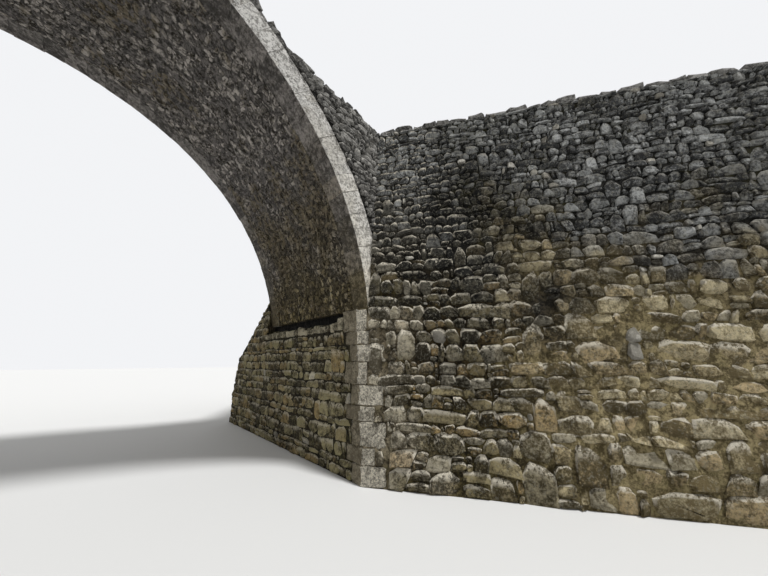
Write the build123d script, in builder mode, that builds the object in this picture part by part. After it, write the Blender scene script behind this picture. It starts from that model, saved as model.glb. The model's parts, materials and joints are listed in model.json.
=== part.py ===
from build123d import *

import os
from math import asin, atan, cos, degrees, hypot, radians, sin, sqrt, tan

# A single-span stone arch bridge with a humped deck and four splayed wing walls.
# +X runs along the bridge, +Y across it, towards the far side, and +Z up.
# The origin is the middle of the plan, at ground level. Lengths are in millimetres.

# Arch
intrados_radius = 5200
centre_height = 1650  # the arch's centre above the ground
springing_rise = 680  # the springing line above the arch's centre
barrel_width = 3580
ring_thickness = 340
ring_bond = 380  # how far a ring stone reaches into the barrel
ring_stone_widths = (310, 235, 350, 270, 215, 330, 255)  # taken in turn, then fitted to the arc
ring_stone_count = 51
ring_joint = 8  # mortar joint between two ring stones
bedding = 0.3  # under every curved face that carries masonry

# Abutments
ledge = 105  # the abutment's face stands this far in front of the soffit
ledge_drop = 180  # the ledge lies this far below the springing
impost_height = 150
impost_bed = 720
springer_recess = 85  # the course between ledge and soffit is set back this far
quoin_bed = 300
quoin_heights = (260, 210, 330, 200, 290, 320, 250, 205, 355)  # from the ground, then fitted
quoin_wing_legs = (340, 200, 380, 220, 360, 150, 430, 190, 170)  # along the wing wall
quoin_river_legs = (220, 340, 210, 330, 200, 330, 210, 300, 330)  # along the river face
toe_crest = 570  # top of the far toe at the barrel's face, above the springing
toe_shoulder = (980, 0)  # reach beyond the barrel, and height above the ledge
toe_knee = (1780, -570)
toe_foot = (2000, -1500)

# Spandrels, deck and kerbs
spandrel_thickness = 480
approach_drop = 1765  # from the kerb over the crown down to the level approach
approach_length = 3020
ramp_setback = 175  # a ramp ends this far beyond the springing
ramp_slope = 0.255
paving_thickness = 90
kerb_height = 130
kerb_width = 270

# Wing walls
wing_angle = 56  # between a wing wall and the bridge's line
wing_length = 5700
wing_top_thickness = 800
wing_batter = 0.052  # lean of the outer face, per unit of height
wing_cap_height = 120
wing_cap_overhang = 25

# Worked out from the sizes above
half_width = barrel_width / 2
ring_radius = intrados_radius + ring_thickness
bed_radius = ring_radius + bedding
springing_level = centre_height + springing_rise
ledge_level = springing_level - ledge_drop
half_span = sqrt(intrados_radius**2 - springing_rise**2)
river_face = half_span - ledge
impost_back = river_face + impost_bed
quoin_fit = springing_level / sum(quoin_heights)
ramp_foot = half_span + ramp_setback
approach_end = ramp_foot + approach_length
approach_level = centre_height + bed_radius + kerb_height - approach_drop
bed_level = approach_level - kerb_height
ramp_angle = atan(ramp_slope)
wing_body_top = approach_level - wing_cap_height

os.makedirs("parts", exist_ok=True)


def level_angle(radius):
    """Angle at which a circle about the arch's centre meets the springing level."""
    return degrees(asin(springing_rise / radius))


def foot_point(rise):
    """Where the ramp meets the level approach, on a line this far above the bed."""
    return (ramp_foot + rise * tan(ramp_angle / 2), bed_level + rise)


def haunch_point(rise):
    """Where the ramp runs into the arc over the crown, on a line this far above the bed."""
    foot_x, foot_z = foot_point(rise)
    foot_z -= centre_height
    up_x, up_z = -cos(ramp_angle), sin(ramp_angle)
    along = foot_x * up_x + foot_z * up_z
    clear = foot_x**2 + foot_z**2 - (bed_radius + rise) ** 2
    travel = -along - sqrt(along**2 - clear)
    return (foot_x + travel * up_x, foot_z + travel * up_z + centre_height)


def haunch_angle(rise):
    """Direction of the haunch point from the arch's centre, above the horizontal."""
    x, z = haunch_point(rise)
    return degrees(asin((z - centre_height) / hypot(x, z - centre_height)))


def sector(inner, outer, inner_from, inner_to, outer_from, outer_to):
    """Outline between two arcs about the arch's centre, closed by straight ends."""
    centre = (0, centre_height)
    with BuildLine() as outline:
        low = CenterArc(centre, inner, inner_from, inner_to - inner_from)
        high = CenterArc(centre, outer, outer_from, outer_to - outer_from)
        Line(low @ 0, high @ 0)
        Line(low @ 1, high @ 1)
    return outline.edges()


def ramp_band(low, high):
    """Outline of a course on the right ramp and approach, between two heights above the bed."""
    with BuildLine() as outline:
        Polyline(
            haunch_point(low),
            foot_point(low),
            (approach_end, bed_level + low),
            (approach_end, bed_level + high),
            foot_point(high),
            haunch_point(high),
            close=True,
        )
    return outline.edges()


def crown_band(low, high):
    """Outline of a course over the crown, between two heights above the bed."""
    low_angle = haunch_angle(low)
    high_angle = haunch_angle(high)
    return sector(
        bed_radius + low,
        bed_radius + high,
        low_angle,
        180 - low_angle,
        high_angle,
        180 - high_angle,
    )


def haunch():
    """Outline of the masonry between the ring, the deck's bed and the abutment's top."""
    start = level_angle(bed_radius)
    with BuildLine() as outline:
        back = CenterArc(
            (0, centre_height), bed_radius, start, haunch_angle(0) - start
        )
        Polyline(
            back @ 1,
            foot_point(0),
            (approach_end, bed_level),
            (approach_end, springing_level),
            back @ 0,
        )
    return outline.edges()


def save(shape, name):
    shape.label = name
    export_step(shape, f"parts/{name}.step")


def save_left_and_right(shape, name):
    """The right-hand piece and its twin at the other end of the bridge."""
    save(shape, f"right_{name}")
    save(mirror(shape, about=Plane.YZ), f"left_{name}")


def save_four(shape, name):
    """The right-hand near piece and its twins at the other three corners."""
    save_left_and_right(shape, f"near_{name}")
    save_left_and_right(mirror(shape, about=Plane.XZ), f"far_{name}")


near_face = Plane.XZ.offset(half_width)
near_kerb_back = Plane.XZ.offset(half_width - kerb_width)
ring_back = Plane.XZ.offset(half_width - ring_bond)
spandrel_back = Plane.XZ.offset(half_width - spandrel_thickness)

# The outer face of the near right wing wall leans in, and meets the barrel's near face
# at the springing.
wing_root = Vector(half_span, -half_width, springing_level)
wing_run = Vector(cos(radians(wing_angle)), -sin(radians(wing_angle)), 0)
wing_outward = Vector(-sin(radians(wing_angle)), -cos(radians(wing_angle)), 0)
wing_face = Plane(origin=wing_root, z_dir=wing_outward + Vector(0, 0, wing_batter))
river_plane = Plane.YZ.offset(river_face)
wing_start = 3 * ledge  # the wall is begun this far back, then trimmed to its corner


def corner_at(level):
    """Near right corner between the river face and the wing wall's outer face."""
    lean = wing_outward.X * -ledge + wing_batter * (level - springing_level)
    return Vector(river_face, -half_width - lean / wing_outward.Y, level)


# Quoins: long and short corner stones, toothed into the abutment and the wing wall
with BuildPart() as quoins:
    for course, height in enumerate(quoin_heights):
        level = sum(quoin_heights[:course]) * quoin_fit
        corner = corner_at(level)
        wing_leg = quoin_wing_legs[course]
        river_leg = quoin_river_legs[course]
        river_end = corner + Vector(0, river_leg, 0)
        wing_end = corner + wing_run * wing_leg
        with BuildSketch(Plane.XY.offset(level)):
            with BuildLine():
                Polyline(
                    corner,
                    river_end,
                    river_end + Vector(quoin_bed, 0, 0),
                    wing_end - wing_outward * quoin_bed,
                    wing_end,
                    close=True,
                )
            make_face()
        extrude(amount=height * quoin_fit)
    split(bisect_by=wing_face, keep=Keep.BOTTOM)
save_left_and_right(quoins.part, "near_quoins")

# Barrel: a rubble vault between the two dressed rings
with BuildPart() as barrel:
    with BuildSketch(Plane.XZ):
        make_face(
            sector(
                intrados_radius,
                ring_radius,
                level_angle(intrados_radius),
                180 - level_angle(intrados_radius),
                level_angle(ring_radius),
                180 - level_angle(ring_radius),
            )
        )
    extrude(amount=half_width - ring_bond, both=True)
save(barrel.part, "arch_barrel")

# Rings: separate dressed stones with parallel joints, from a level bed on each side
first_joint = level_angle(intrados_radius)
widths = [ring_stone_widths[n % len(ring_stone_widths)] for n in range(ring_stone_count)]
angle_per_width = (180 - 2 * first_joint) / sum(widths)
inner_joint = degrees(asin(ring_joint / 2 / intrados_radius))
outer_joint = degrees(asin(ring_joint / 2 / ring_radius))
with BuildPart() as near_ring:
    for stone in range(ring_stone_count):
        low = first_joint + sum(widths[:stone]) * angle_per_width
        high = low + widths[stone] * angle_per_width
        inner_ends = [low + inner_joint, high - inner_joint]
        outer_ends = [low + outer_joint, high - outer_joint]
        if stone == 0:
            inner_ends[0] = level_angle(intrados_radius)
            outer_ends[0] = level_angle(ring_radius)
        if stone == ring_stone_count - 1:
            inner_ends[1] = 180 - level_angle(intrados_radius)
            outer_ends[1] = 180 - level_angle(ring_radius)
        with BuildSketch(ring_back):
            make_face(sector(intrados_radius, ring_radius, *inner_ends, *outer_ends))
        extrude(amount=ring_bond)
save(near_ring.part, "near_arch_ring")
save(mirror(near_ring.part, about=Plane.XZ), "far_arch_ring")

# Abutment: solid masonry under the springing, its top course an impost ledge
with BuildPart() as abutment:
    with BuildSketch(Plane.XZ):
        with BuildLine():
            Polyline(
                (river_face, 0),
                (approach_end, 0),
                (approach_end, springing_level),
                (impost_back, springing_level),
                (impost_back, ledge_level - impost_height),
                (river_face, ledge_level - impost_height),
                close=True,
            )
        make_face()
    extrude(amount=half_width, both=True)
    split(bisect_by=wing_face, keep=Keep.BOTTOM)
    add(quoins.part, mode=Mode.SUBTRACT)
save_left_and_right(abutment.part, "abutment")

with BuildPart() as impost:
    with BuildSketch(Plane.XZ):
        with Locations((impost_back, ledge_level)):
            Rectangle(impost_bed, impost_height, align=(Align.MAX, Align.MAX))
    extrude(amount=half_width, both=True)
    split(bisect_by=wing_face, keep=Keep.BOTTOM)
    add(quoins.part, mode=Mode.SUBTRACT)
save_left_and_right(impost.part, "impost")

# Springer course: set back behind the soffit, so a dark slot runs along the ledge
with BuildPart() as springer_course:
    with BuildSketch(Plane.XZ):
        with Locations((impost_back, ledge_level)):
            Rectangle(
                impost_bed - ledge - springer_recess,
                ledge_drop,
                align=(Align.MAX, Align.MIN),
            )
    extrude(amount=half_width, both=True)
    split(bisect_by=wing_face, keep=Keep.BOTTOM)
    add(quoins.part, mode=Mode.SUBTRACT)
save_left_and_right(springer_course.part, "springer_course")

# Spandrels, and the rubble core between them
with BuildPart() as spandrel:
    with BuildSketch(spandrel_back):
        make_face(haunch())
    extrude(amount=spandrel_thickness)
save_four(spandrel.part, "spandrel")

with BuildPart() as core:
    with BuildSketch(Plane.XZ):
        make_face(haunch())
    extrude(amount=half_width - spandrel_thickness, both=True)
save_left_and_right(core.part, "core")

# Wing wall: leaning outer face, upright back, trimmed to the barrel and the river face
root_on_ground = Vector(wing_root.X, wing_root.Y, 0)
wing_section = Plane(
    origin=root_on_ground - wing_run * wing_start,
    x_dir=-wing_outward,
    z_dir=wing_run,
)
face_at_ground = -wing_batter * springing_level
face_at_top = wing_batter * (wing_body_top - springing_level)
wing_back = face_at_top + wing_top_thickness
with BuildPart() as wing:
    with BuildSketch(wing_section):
        with BuildLine():
            Polyline(
                (face_at_ground, 0),
                (wing_back, 0),
                (wing_back, wing_body_top),
                (face_at_top, wing_body_top),
                close=True,
            )
        make_face()
    extrude(amount=wing_start + wing_length)
    split(bisect_by=near_face, keep=Keep.TOP)
    split(bisect_by=river_plane, keep=Keep.TOP)
save_left_and_right(mirror(wing.part, about=Plane.XZ), "far_wing")

with BuildPart() as quoined_wing:
    add(wing.part)
    add(quoins.part, mode=Mode.SUBTRACT)
save_left_and_right(quoined_wing.part, "near_wing")

with BuildPart() as wing_cap:
    with BuildSketch(wing_section):
        with Locations((face_at_top - wing_cap_overhang, wing_body_top)):
            Rectangle(
                wing_top_thickness + 2 * wing_cap_overhang,
                wing_cap_height,
                align=(Align.MIN, Align.MIN),
            )
    extrude(amount=wing_start + wing_length)
    split(bisect_by=near_face, keep=Keep.TOP)
save_four(wing_cap.part, "wing_cap")

# Toe: a low wall on the far side that goes on in the river face, its top weathered down
far_wing_face = Plane(
    origin=(wing_root.X, -wing_root.Y, wing_root.Z),
    z_dir=(wing_outward.X, -wing_outward.Y, wing_batter),
)
with BuildPart() as toe:
    with BuildSketch(river_plane):
        with BuildLine():
            Polyline(
                (half_width, 0),
                (half_width + toe_foot[0], 0),
                (half_width + toe_foot[0], ledge_level + toe_foot[1]),
                (half_width + toe_knee[0], ledge_level + toe_knee[1]),
                (half_width + toe_shoulder[0], ledge_level + toe_shoulder[1]),
                (half_width, springing_level + toe_crest),
                close=True,
            )
        make_face()
    extrude(amount=toe_foot[0])
    split(bisect_by=far_wing_face, keep=Keep.TOP)
save_left_and_right(toe.part, "far_toe")

# Deck: paving between kerbs, laid on the bed line
with BuildPart() as crown_paving:
    with BuildSketch(Plane.XZ):
        make_face(crown_band(0, paving_thickness))
    extrude(amount=half_width - kerb_width, both=True)
save(crown_paving.part, "crown_paving")

with BuildPart() as ramp_paving:
    with BuildSketch(Plane.XZ):
        make_face(ramp_band(0, paving_thickness))
    extrude(amount=half_width - kerb_width, both=True)
save_left_and_right(ramp_paving.part, "ramp_paving")

with BuildPart() as crown_kerb:
    with BuildSketch(near_kerb_back):
        make_face(crown_band(0, kerb_height))
    extrude(amount=kerb_width)
save(crown_kerb.part, "near_crown_kerb")
save(mirror(crown_kerb.part, about=Plane.XZ), "far_crown_kerb")

with BuildPart() as ramp_kerb:
    with BuildSketch(near_kerb_back):
        make_face(ramp_band(0, kerb_height))
    extrude(amount=kerb_width)
save_four(ramp_kerb.part, "ramp_kerb")
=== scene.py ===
import json
from functools import partial
from math import acos, asin, atan, cos, pi, radians, sin, sqrt

import bmesh
import bpy
import numpy as np
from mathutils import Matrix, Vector
from numpy.random import default_rng

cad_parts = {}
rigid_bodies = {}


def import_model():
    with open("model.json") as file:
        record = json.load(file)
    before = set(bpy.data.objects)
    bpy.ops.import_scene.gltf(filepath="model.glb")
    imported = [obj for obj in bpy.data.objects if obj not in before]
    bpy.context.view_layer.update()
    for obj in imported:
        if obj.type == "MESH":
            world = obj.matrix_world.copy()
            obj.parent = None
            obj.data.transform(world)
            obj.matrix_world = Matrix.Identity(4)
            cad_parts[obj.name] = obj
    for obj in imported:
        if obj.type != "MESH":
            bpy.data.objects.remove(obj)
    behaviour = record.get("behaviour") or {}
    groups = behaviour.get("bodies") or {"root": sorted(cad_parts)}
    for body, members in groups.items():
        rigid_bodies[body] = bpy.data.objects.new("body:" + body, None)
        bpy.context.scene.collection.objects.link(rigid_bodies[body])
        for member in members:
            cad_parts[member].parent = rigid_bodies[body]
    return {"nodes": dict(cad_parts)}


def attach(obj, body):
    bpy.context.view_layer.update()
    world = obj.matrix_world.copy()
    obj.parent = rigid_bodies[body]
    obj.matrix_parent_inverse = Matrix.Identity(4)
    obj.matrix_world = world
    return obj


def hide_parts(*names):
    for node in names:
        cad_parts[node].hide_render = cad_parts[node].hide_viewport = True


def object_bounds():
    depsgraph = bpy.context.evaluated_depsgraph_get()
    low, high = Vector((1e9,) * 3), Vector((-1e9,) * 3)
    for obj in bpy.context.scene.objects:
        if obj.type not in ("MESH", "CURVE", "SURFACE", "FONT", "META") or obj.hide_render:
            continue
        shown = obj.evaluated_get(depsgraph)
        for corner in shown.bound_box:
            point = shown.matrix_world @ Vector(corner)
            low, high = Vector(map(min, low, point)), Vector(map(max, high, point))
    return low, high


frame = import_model()
cadLow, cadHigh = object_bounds()
print("frame loaded:", len(frame["nodes"]), "nodes")

# the bridge's own sizes, in metres
bridge = {
    "radius": 5.2,  # inside of the arch
    "centre": 1.65,  # arch centre above the ground
    "rise": 0.68,  # springing above the arch centre
    "halfWidth": 1.79,
    "ring": 0.34,
    "bond": 0.38,
    "bedding": 0.0003,
    "ledge": 0.105,
    "ledgeDrop": 0.18,
    "recess": 0.085,
    "approach": 3.02,
    "setback": 0.175,
    "approachDrop": 1.765,
    "slope": 0.255,
    "paving": 0.09,
    "kerbHigh": 0.13,
    "kerbWide": 0.27,
    "wingAngle": radians(56),
    "wingLong": 5.7,
    "wingThick": 0.8,
    "batter": 0.052,
    "capHigh": 0.12,
    "quoinHeights": (0.26, 0.21, 0.33, 0.2, 0.29, 0.32, 0.25, 0.205, 0.355),  # from the ground, then fitted
    "quoinWingLegs": (0.34, 0.2, 0.38, 0.22, 0.36, 0.15, 0.43, 0.19, 0.17),
    "quoinRiverLegs": (0.22, 0.34, 0.21, 0.33, 0.2, 0.33, 0.21, 0.3, 0.33),
}
radius, centre, halfWidth, batter = (bridge[key] for key in ("radius", "centre", "halfWidth", "batter"))
springing = centre + bridge["rise"]
halfSpan = sqrt(radius ** 2 - bridge["rise"] ** 2)
riverFace = halfSpan - bridge["ledge"]
ledgeTop = springing - bridge["ledgeDrop"]
bedRadius = radius + bridge["ring"] + bridge["bedding"]
rampFoot = halfSpan + bridge["setback"]
approachEnd = rampFoot + bridge["approach"]
bedLevel = centre + bedRadius - bridge["approachDrop"]
wingTop = bedLevel + bridge["kerbHigh"] - bridge["capHigh"]
wingRun = np.array([cos(bridge["wingAngle"]), -sin(bridge["wingAngle"]), 0.0])
wingOut = np.array([-sin(bridge["wingAngle"]), -cos(bridge["wingAngle"]), 0.0])
wingRoot = np.array([halfSpan, -halfWidth, 0.0])
wingBack = batter * (wingTop - springing) + bridge["wingThick"]
toeProfile = [(0.0, springing + 0.57), (0.98, ledgeTop), (1.78, ledgeTop - 0.57), (2.0, ledgeTop - 1.5)]  # out, up
toeEnd = halfWidth + toeProfile[-1][0]
quoinLevels = np.concatenate([[0], np.cumsum(bridge["quoinHeights"])]) * springing / sum(bridge["quoinHeights"])
acrossSides, depthSides = ((1, "right"), (-1, "left")), ((1, "near"), (-1, "far"))


def quoinLeg(legs, z):
    return np.array(bridge[legs])[np.searchsorted(quoinLevels[1:-1], z, side="right")]


def deselectAll():
    if bpy.context.object and bpy.context.object.mode != "OBJECT":
        bpy.ops.object.mode_set(mode="OBJECT")
    bpy.ops.object.select_all(action="DESELECT")


def startCube():  # its sides are 0.5 from its middle
    deselectAll()
    bpy.ops.mesh.primitive_cube_add(size=1)
    bpy.ops.object.mode_set(mode="EDIT")
    return bpy.context.object


def pick(piece, kind, wanted):
    bpy.ops.mesh.select_mode(type=kind)
    bpy.ops.mesh.select_all(action="DESELECT")
    shape = bmesh.from_edit_mesh(piece.data)
    for part in shape.faces if kind == "FACE" else shape.edges:
        part.select_set(wanted(part))
    bmesh.update_edit_mesh(piece.data)


# a blank's points, its height running from 0 at the bed to 1 at the face, its faces and how strongly each point takes
# a painted highlight along its rim
def readBlank(blank, rim=None):
    bpy.ops.object.mode_set(mode="OBJECT")
    points = np.array([v.co for v in blank.data.vertices])
    low, high = points[:, 2].min(), points[:, 2].max()
    points[:, 2] = (points[:, 2] - low) / (high - low)
    faces = [list(p.vertices) for p in blank.data.polygons]
    bpy.data.objects.remove(blank)
    return points, faces, np.zeros(len(points)) if rim is None else rim


# a stone seen from its face only: each corner cut by its own amount, then a worn rim that takes a painted highlight
def carveFaceStone(look, seed):
    cut = default_rng(seed)
    blank = startCube()
    for x, y in look["corners"]:
        pick(blank, "EDGE", lambda e: all(v.co.x * x > 0.49 and v.co.y * y > 0.49 for v in e.verts))
        bpy.ops.mesh.bevel(offset=cut.uniform(*look["cut"]), segments=1, affect="EDGES")
    pick(blank, "FACE", lambda f: f.normal.z > 0.9)
    bpy.ops.mesh.inset(thickness=look["rim"], depth=look["dome"])
    if "crown" in look:
        bpy.ops.mesh.inset(thickness=look["crown"], depth=look["crownRise"])
    levels = [v.co.z for v in bmesh.from_edit_mesh(blank.data).verts]
    # how strongly each point takes the painted highlight: full at the outer edge, the shoulder's share at the inset,
    # none in the middle
    rim = np.interp(levels, (0, 0.5, 0.5 + look["dome"], 0.75 + look["dome"]), (0, 1, look["shoulder"], 0))
    pick(blank, "FACE", lambda f: f.calc_center_median().z > -0.4)
    bpy.ops.transform.vertex_random(offset=look["rough"], seed=seed)
    return readBlank(blank, rim)


def isArris(edge):
    a, b = edge.verts[0].co, edge.verts[1].co
    return sum(abs(a[i]) > 0.499 and abs(a[i] - b[i]) < 0.01 for i in range(3)) >= 2


# a stone seen from several sides: a block with worn arrises and chips knocked out of it
def carveBlock(look, seed):
    blank = startCube()
    bpy.ops.mesh.select_all(action="SELECT")
    bpy.ops.mesh.subdivide(number_cuts=look["cuts"])
    pick(blank, "EDGE", isArris)
    bpy.ops.mesh.bevel(offset=look["arris"], segments=1, affect="EDGES")
    bpy.ops.mesh.select_mode(type="VERT")
    bpy.ops.mesh.select_all(action="DESELECT")
    bpy.ops.mesh.select_random(ratio=look["chips"], seed=seed)
    bpy.ops.transform.resize(value=(look["chipTo"],) * 3, center_override=(0, 0, 0))
    bpy.ops.mesh.select_all(action="SELECT")
    bpy.ops.transform.vertex_random(offset=look["rough"], seed=seed)
    return readBlank(blank)


upperCorners, allCorners = ((1, 1), (-1, 1)), ((1, 1), (-1, 1), (-1, -1), (1, -1))
blankLooks = {
    "round": {"count": 12, "seed": 11, "corners": allCorners, "cut": (0.14, 0.32), "rim": 0.1, "dome": 0.5,
              "crown": 0.13, "crownRise": 0.15, "rough": 0.05, "shoulder": 0.7},
    "split": {"count": 12, "seed": 31, "corners": allCorners, "cut": (0.06, 0.32), "rim": 0.07, "dome": 0.3,
              "rough": 0.055, "shoulder": 0.5},
    "bedded": {"count": 16, "seed": 91, "corners": upperCorners, "cut": (0.12, 0.38), "rim": 0.1, "dome": 0.35,
               "rough": 0.055, "shoulder": 0.6},
    "rugged": {"count": 8, "seed": 51, "cuts": 1, "arris": 0.1, "chips": 0.3, "chipTo": 0.89, "rough": 0.04},
    "dressed": {"count": 8, "seed": 71, "cuts": 2, "arris": 0.014, "chips": 0.15, "chipTo": 0.97, "rough": 0.008},
    "corner": {"count": 8, "seed": 121, "cuts": 2, "arris": 0.045, "chips": 0.25, "chipTo": 0.95, "rough": 0.03},
}
blanks = {}
for kind, look in blankLooks.items():
    carve = carveBlock if "arris" in look else carveFaceStone
    blanks[kind] = [carve(look, look["seed"] + n) for n in range(look["count"])]
print("stone blanks carved:", {kind: len(made[0][1]) for kind, made in blanks.items()})

# how stones lie, unless their own wall says otherwise
laying = {"turned": True, "wobble": 0.02, "lean": 0.15, "leanHigh": 0.03, "jointSpread": (0.6, 1.4), "mostJoint": 0.4,
          "bigPaler": 0.95}


# copies the blanks into the cells of a wall, each bent to its cell and set in or out a little
def layStones(kind, cells, place, look, seed, low=None, high=None):
    look = {**laying, **look}
    rng = default_rng(seed)
    cells = np.asarray(cells, float)
    count = len(cells)
    chosen = rng.integers(len(blanks[kind]), size=count)
    points, rimHighlights = (np.stack([blank[n] for blank in blanks[kind]])[chosen] for n in (0, 2))
    flip = rng.integers(2, size=(count, 1, 1)) * 2 - 1 if look["turned"] else 1
    points[:, :, :2] *= flip  # half a turn, so the faces keep their side
    # the painted highlight is strongest along each stone's upper edge, as if light from above caught it
    rimHighlights = rimHighlights * np.interp(points[:, :, 1], (-0.5, 0.1, 0.5), (0.1, 0.5, 1))
    points[:, :, :2] += rng.normal(0, look["wobble"], points[:, :, :2].shape)
    sides, ends = (np.linalg.norm(cells[:, n] - cells[:, 0], axis=1)[:, None] for n in (1, 3))
    joint = look["joint"] * rng.uniform(*look["jointSpread"], (count, 2))
    u = points[:, :, 0] * (1 - np.minimum(joint[:, :1] / sides, look["mostJoint"])) + 0.5
    v = points[:, :, 1] * (1 - np.minimum(joint[:, 1:] / ends, look["mostJoint"])) + 0.5
    weights = ((1 - u) * (1 - v), u * (1 - v), u * v, (1 - u) * v)
    flat = sum(cells[:, None, n] * weight[..., None] for n, weight in enumerate(weights))
    if low is None:
        low, high = -look["embed"], look["proud"] * (1 - look["uneven"] * rng.random(count))
    low, high = np.full(count, low, float)[:, None], np.full(count, high, float)[:, None]
    w = points[:, :, 2]
    lean = rng.normal(0, look["lean"], (count, 2))
    lift = ((u - 0.5) * lean[:, :1] + (v - 0.5) * lean[:, 1:]) * np.clip(w * 2 - 0.8, 0, 1)
    h = low + (high - low) * w + lift * np.minimum(np.abs(high), look["leanHigh"]) * 2
    world = np.clip(place(flat[..., 0], flat[..., 1], h), cadLow, cadHigh)
    tints = rng.random((count, 3))
    spread = (sides * ends)[:, 0]
    tints[spread > np.median(spread), 2] *= look["bigPaler"]  # only small stones are pale ones
    return {"points": world.reshape(-1, 3), "faces": blanks[kind][0][1], "size": w.shape[1], "tints": tints,
            "rimHighlights": rimHighlights.ravel(), "reversed": isInsideOut(place, *cells.mean((0, 1)))}


# True where a surface's along, up and out don't make a right-handed set
def isInsideOut(place, s, t, step=1e-3):
    root, *arms = place(*np.array([(s, t, 0), (s + step, t, 0), (s, t + step, 0), (s, t, step)], float).T)
    return bool(np.linalg.det(np.array(arms) - root) < 0)


def ripple(a, b, rng, lengths):
    total = 0 * a
    for length in lengths:
        angle, phase = rng.uniform(0, 2 * pi, 2)
        total = total + np.sin((a * cos(angle) + b * sin(angle)) * 2 * pi / length + phase)
    return total / len(lengths)


# how mortar is spread, unless its own wall says otherwise
spreading = {"waves": (0.17, 0.23, 0.34, 0.5, 0.8), "grain": 0.35, "tuck": 0.003, "edge": 0.06}


# mortar spread between the stones, swelling and sinking, its rim tucked into the wall
def spreadMortar(place, area, look, seed, swell=None, begin=None):
    look = {**spreading, **look}
    rng = default_rng(seed)
    start, end, bottom, top = area
    s, t = (np.linspace(a, b, int((b - a) / look["step"]) + 2) for a, b in ((start, end), (bottom, top)))
    gridS, gridT = np.meshgrid(s, t, indexing="ij")
    if begin is not None:
        gridS = np.maximum(gridS, begin(gridT))
    h = look["rise"] + look["swell"] * 2 * ripple(gridS, gridT, rng, look["waves"])
    h = h + rng.normal(0, look["swell"] * look["grain"], h.shape)
    if swell is not None:
        h = h - look["sink"] * (1 - swell(gridS, gridT))
    edge = np.minimum(np.minimum(gridS - gridS.min(0), end - gridS), np.minimum(gridT - bottom, top - gridT))
    h = -look["tuck"] + (h + look["tuck"]) * np.clip(edge / look["edge"], 0, 1)
    points = np.clip(place(gridS, gridT, h).reshape(-1, 3), cadLow, cadHigh)
    number = np.arange(len(points)).reshape(gridS.shape)
    quads = np.stack([number[:-1, :-1], number[1:, :-1], number[1:, 1:], number[:-1, 1:]], -1)
    return {"points": points, "faces": quads.reshape(-1, 4).tolist(), "size": len(points), "tints": np.zeros((1, 3)),
            "rimHighlights": np.zeros(len(points)), "reversed": isInsideOut(place, (start + end) / 2, (bottom + top) / 2)}


triangles = []


# joins one or more beds of stones into one piece
def buildWall(name, beds, material, replaces=(), angle=32):
    loops, totals, base = [], [], 0
    for bed in beds:
        count = len(bed["points"]) // bed["size"]
        ring = [face[::-1] if bed["reversed"] else face for face in bed["faces"]]
        loops.append((np.concatenate(ring) + (np.arange(count) * bed["size"])[:, None] + base).ravel())
        totals.append(np.tile([len(face) for face in ring], count))
        base += len(bed["points"])
    loops, totals = np.concatenate(loops), np.concatenate(totals)
    points, rimHighlights = (np.concatenate([bed[key] for bed in beds]) for key in ("points", "rimHighlights"))
    tints = np.concatenate([np.repeat(bed["tints"], bed["size"], axis=0) for bed in beds])
    mesh = bpy.data.meshes.new(name)
    mesh.vertices.add(len(points))
    mesh.vertices.foreach_set("co", points.astype(np.float32).ravel())
    mesh.loops.add(len(loops))
    mesh.loops.foreach_set("vertex_index", loops.astype(np.int32))
    mesh.polygons.add(len(totals))
    mesh.polygons.foreach_set("loop_start", (np.cumsum(totals) - totals).astype(np.int32))
    mesh.polygons.foreach_set("loop_total", totals.astype(np.int32))
    mesh.update(calc_edges=True)
    mesh.validate()
    # the tint's alpha carries each point's painted highlight
    tint = mesh.color_attributes.new("stoneTint", "FLOAT_COLOR", "POINT")
    tint.data.foreach_set("color", np.column_stack([tints, rimHighlights]).astype(np.float32).ravel())
    wall = bpy.data.objects.new(name, mesh)
    bpy.context.scene.collection.objects.link(wall)
    finishPiece(wall, material, replaces, angle)
    triangles.append(int((totals - 2).sum()))
    print(name, "stones:", sum(len(b["points"]) // b["size"] for b in beds), "triangles:", triangles[-1])
    return wall


def finishPiece(piece, material, replaces=(), angle=32):
    deselectAll()
    bpy.context.view_layer.objects.active = piece
    piece.select_set(True)
    bpy.ops.object.shade_smooth_by_angle(angle=radians(angle))
    piece.data.materials.clear()
    piece.data.materials.append(material)
    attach(piece, "root")
    if replaces:
        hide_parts(*replaces)


# gives the faces that a test picks a finish of their own
def paintFaces(piece, material, wanted):
    piece.data.materials.append(material)
    for face in piece.data.polygons:
        if wanted(face):
            face.material_index = len(piece.data.materials) - 1


def sizeAt(size, z):  # one size, or levels and the size at each
    return size if np.isscalar(size) else float(np.interp(z, *size))


def squareCell(left, right, low, high):
    return [(left, low), (right, low), (right, high), (left, high)]


# cuts a cell in two, one on the other or side by side
def halve(rng, cell, stacked, drift):
    a, b, c, d = np.array(cell)
    mid = rng.uniform(0.35, 0.65)
    other = mid + rng.normal(0, drift)
    if stacked:
        left, right = a + (d - a) * mid, b + (c - b) * other
        return [[a, b, right, left], [left, right, c, d]]
    low, high = a + (b - a) * mid, d + (c - d) * other
    return [[a, low, high, d], [low, b, c, high]]


# random rubble brought to rough courses: cells as four corners each, in metres along and up
rubble = {
    "split": 0.22, "big": 0.06, "pins": 0.12, "wave": 0.014, "ragged": 0.008,
    "courseSpread": (0.72, 1.3), "lastCourse": 1.45, "longSpread": (-0.08, 0.4), "longLimits": (0.4, 2.1),
    "bigLong": (0.9, 1.3), "slant": 0.12, "pinWide": (0.25, 0.5), "pinHigh": (0.25, 0.75), "straightEdge": 0.12,
    "leastCourse": 0.5, "courseSplit": (0.4, 0.6), "leastGap": 0.025, "leastLong": 0.3, "stackHigh": 0.07,
    "stackLong": 1.3, "stackDrift": 0.07, "sideLong": 1.5, "sideDrift": 0.1,
}


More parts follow.
